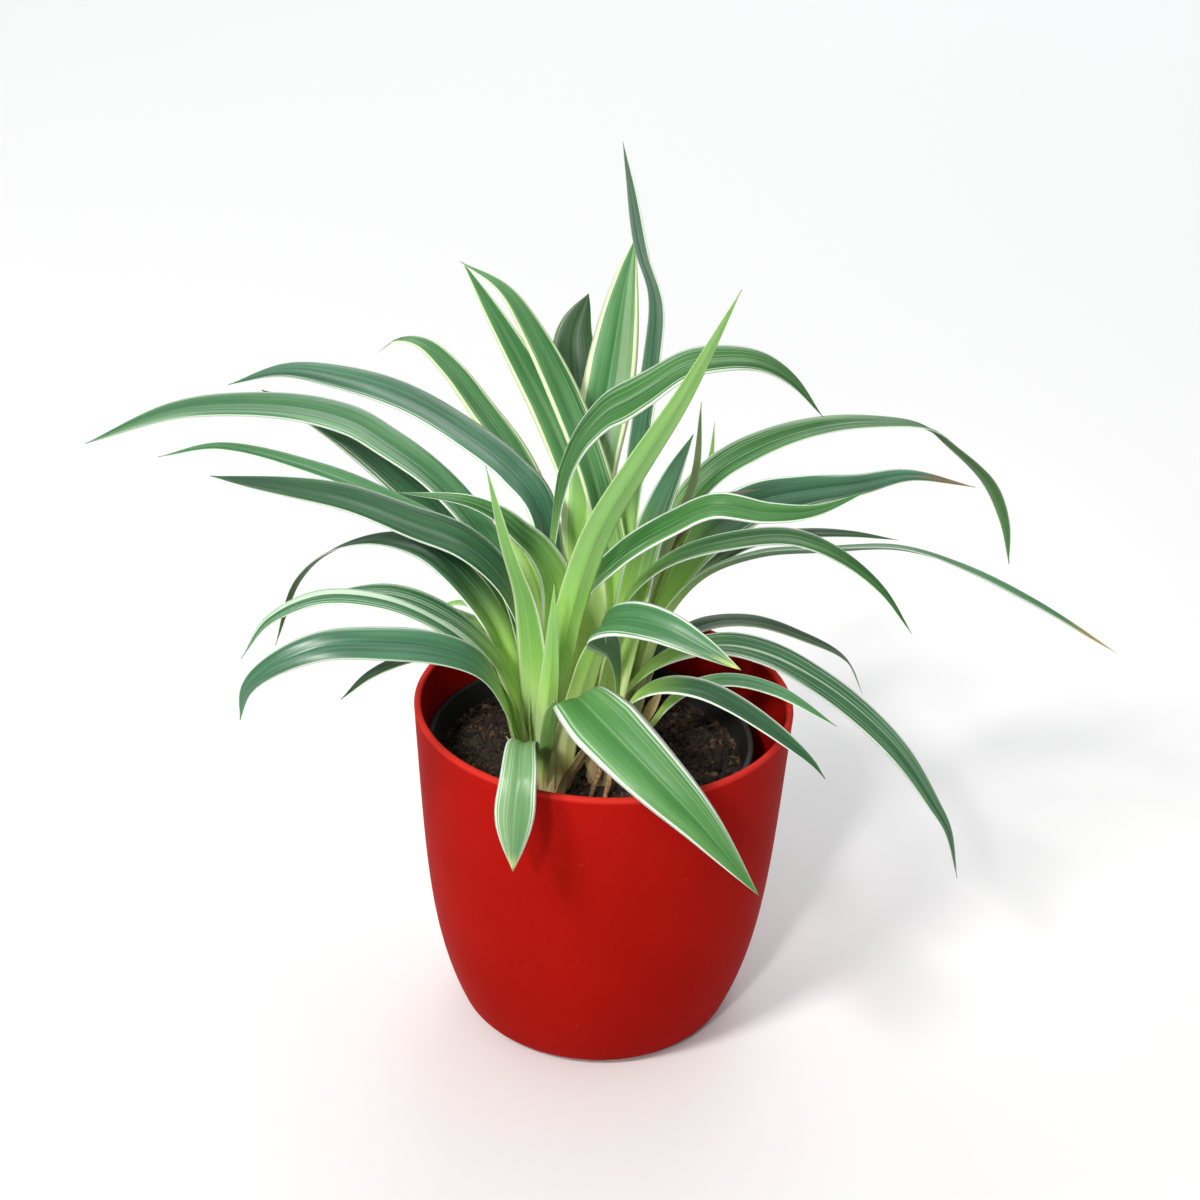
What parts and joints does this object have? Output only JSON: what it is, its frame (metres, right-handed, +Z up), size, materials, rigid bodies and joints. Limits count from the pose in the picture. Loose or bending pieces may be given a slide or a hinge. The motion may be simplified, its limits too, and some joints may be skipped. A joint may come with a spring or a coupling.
{
  "type": "potted spider plant",
  "caption": "Potted spider plant with arching, cream-edged grassy leaves, growing in peat in a black nursery pot set loose in a round red cover pot.",
  "frame": {"origin": "centre of the cover pot's underside, on the surface that it stands on", "axes": "+Z up, the way the pot's mouth points; -Y is the front, the side that the plant is looked at from; +X is along the longest spread of the leaves, to the right seen from the front"},
  "size_m": [0.3875, 0.2238, 0.3261],
  "materials": {
    "cover_pot": "satin tomato red",
    "nursery_pot": "charcoal black, thin moulded",
    "soil": "dark brown peat with light fibres",
    "leaf": "satin green with cream margins"
  },
  "bodies": {
    "root": {"cover_pot": "cover_pot", "nursery_pot": "nursery_pot", "soil": "soil", "shoot_left": "leaf", "shoot_right": "leaf", "shoot_back": "leaf"}
  },
  "joints": []
}
